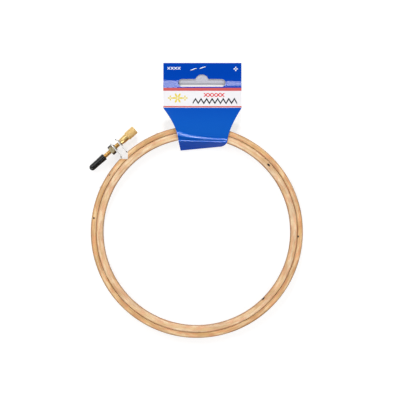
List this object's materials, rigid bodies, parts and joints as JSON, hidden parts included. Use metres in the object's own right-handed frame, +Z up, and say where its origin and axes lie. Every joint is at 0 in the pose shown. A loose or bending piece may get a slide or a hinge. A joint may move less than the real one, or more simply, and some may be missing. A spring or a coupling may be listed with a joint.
{
  "type": "embroidery hoop",
  "caption": "Wooden embroidery hoop: closed inner ring in a split outer ring drawn together by a brass thumb screw, with a folded hang card looped round both rings.",
  "frame": {"origin": "under the middle of the whole hoop's bounding box, on the plane it lies on; the middle of the rings is 0.5 mm towards +X and 19.92 mm towards -Y from there", "axes": "+Z up along the rings' axis, +Y from the rings towards the top of the hang card, +X to the right in the picture"},
  "size_m": [0.1348, 0.1736, 0.0115],
  "materials": {
    "outer_wood": "steam-bent beech, sanded smooth with a thin clear sealer",
    "inner_wood": "steam-bent beech, paler, sanded smooth with a thin clear sealer",
    "plated_steel": "bright nickel plate on stamped sheet",
    "brass": "turned and polished, head knurled",
    "dark_nickel": "yellowish passivated steel, slightly dull",
    "black_rubber": "soft dipped vinyl, semi-gloss",
    "printed_card": "glossy coated print: blue field, red band and white band in front, white core at the cut edges",
    "staple_wire": "bright galvanised wire"
  },
  "bodies": {
    "outer_ring": {"outer_ring": "outer_wood", "head_side_bracket": "plated_steel", "nut_side_bracket": "plated_steel", "head_side_pin": "plated_steel", "nut_side_pin": "plated_steel", "clinch_nut": "dark_nickel", "hang_card": "printed_card", "staple": "staple_wire"},
    "inner_ring": {"inner_ring": "inner_wood"},
    "head_washer": {"head_washer": "plated_steel"},
    "thumb_screw": {"thumb_screw": "brass"},
    "screw_cap": {"screw_cap": "black_rubber"}
  },
  "joints": [
    {"name": "inner_ring_lift", "type": "slide", "parent": "outer_ring", "child": "inner_ring", "axis": [0, 0, 1], "range_m": [0, 0.012], "deforming": ["hang_card"]},
    {"name": "screw_travel", "type": "slide", "parent": "outer_ring", "child": "head_washer", "axis": [0.7466, 0.6652, 0], "range_m": [0, 0.0045]},
    {"name": "screw_turn", "type": "hinge", "parent": "head_washer", "child": "thumb_screw", "pos_m": [-0.05061, 0.03393, 0.00465], "axis": [0.7466, 0.6652, 0], "range_deg": [0, 3240]},
    {"name": "cap_pull", "type": "slide", "parent": "thumb_screw", "child": "screw_cap", "axis": [-0.7466, -0.6652, 0], "range_m": [0, 0.0125]}
  ],
  "couplings": [
    {"joint": "screw_turn", "follows": "screw_travel", "rad_per_m": 12566}
  ]
}
